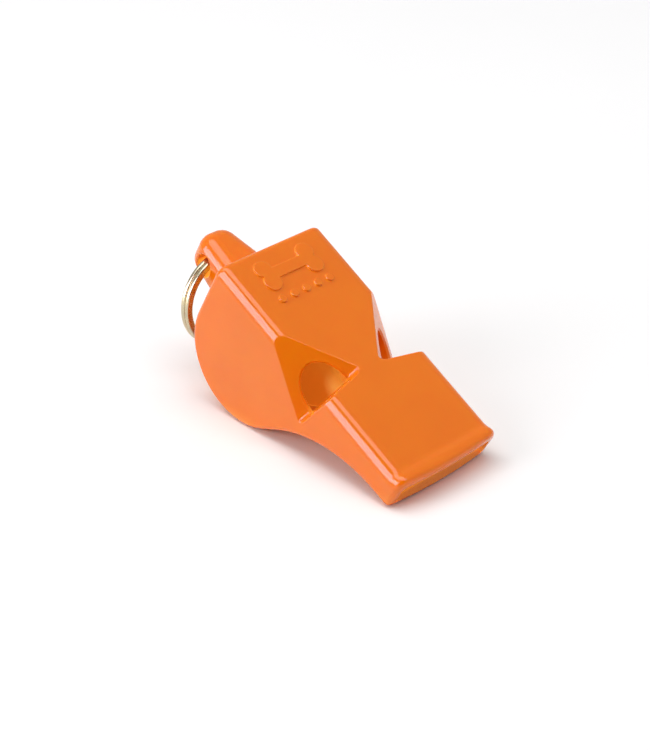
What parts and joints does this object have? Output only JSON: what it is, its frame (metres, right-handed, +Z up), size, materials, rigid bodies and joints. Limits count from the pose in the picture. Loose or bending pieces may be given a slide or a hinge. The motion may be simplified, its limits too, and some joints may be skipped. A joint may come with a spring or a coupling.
{
  "type": "training whistle",
  "caption": "Pealess three-chamber training whistle with a flat mouthpiece, side sound windows and a split ring that swings in the rear lug.",
  "frame": {"origin": "on the table, under the middle of the whistle's outer box", "axes": "+X along the table towards the mouthpiece, +Y to the whistle's left, +Z up; the whistle rests on its barrel and lower lip, so its mouthpiece points 28.8 degrees below +X"},
  "size_m": [0.0516, 0.02, 0.0244],
  "materials": {
    "orange_plastic": "glossy moulded ABS",
    "orange_plastic_inner": "satin moulded ABS inside the chambers",
    "orange_plastic_cover": "glossy moulded ABS",
    "ring_wire": "polished pale plating"
  },
  "bodies": {
    "whistle": {"top_housing": "orange_plastic", "chamber_core": "orange_plastic_inner", "bottom_cover": "orange_plastic_cover"},
    "ring": {"split_ring": "ring_wire"}
  },
  "joints": [
    {"name": "ring_swing", "type": "hinge", "parent": "whistle", "child": "ring", "pos_m": [-0.02188, 0, 0.0182], "axis": [0, 1, 0], "range_deg": [-18, 234]}
  ]
}
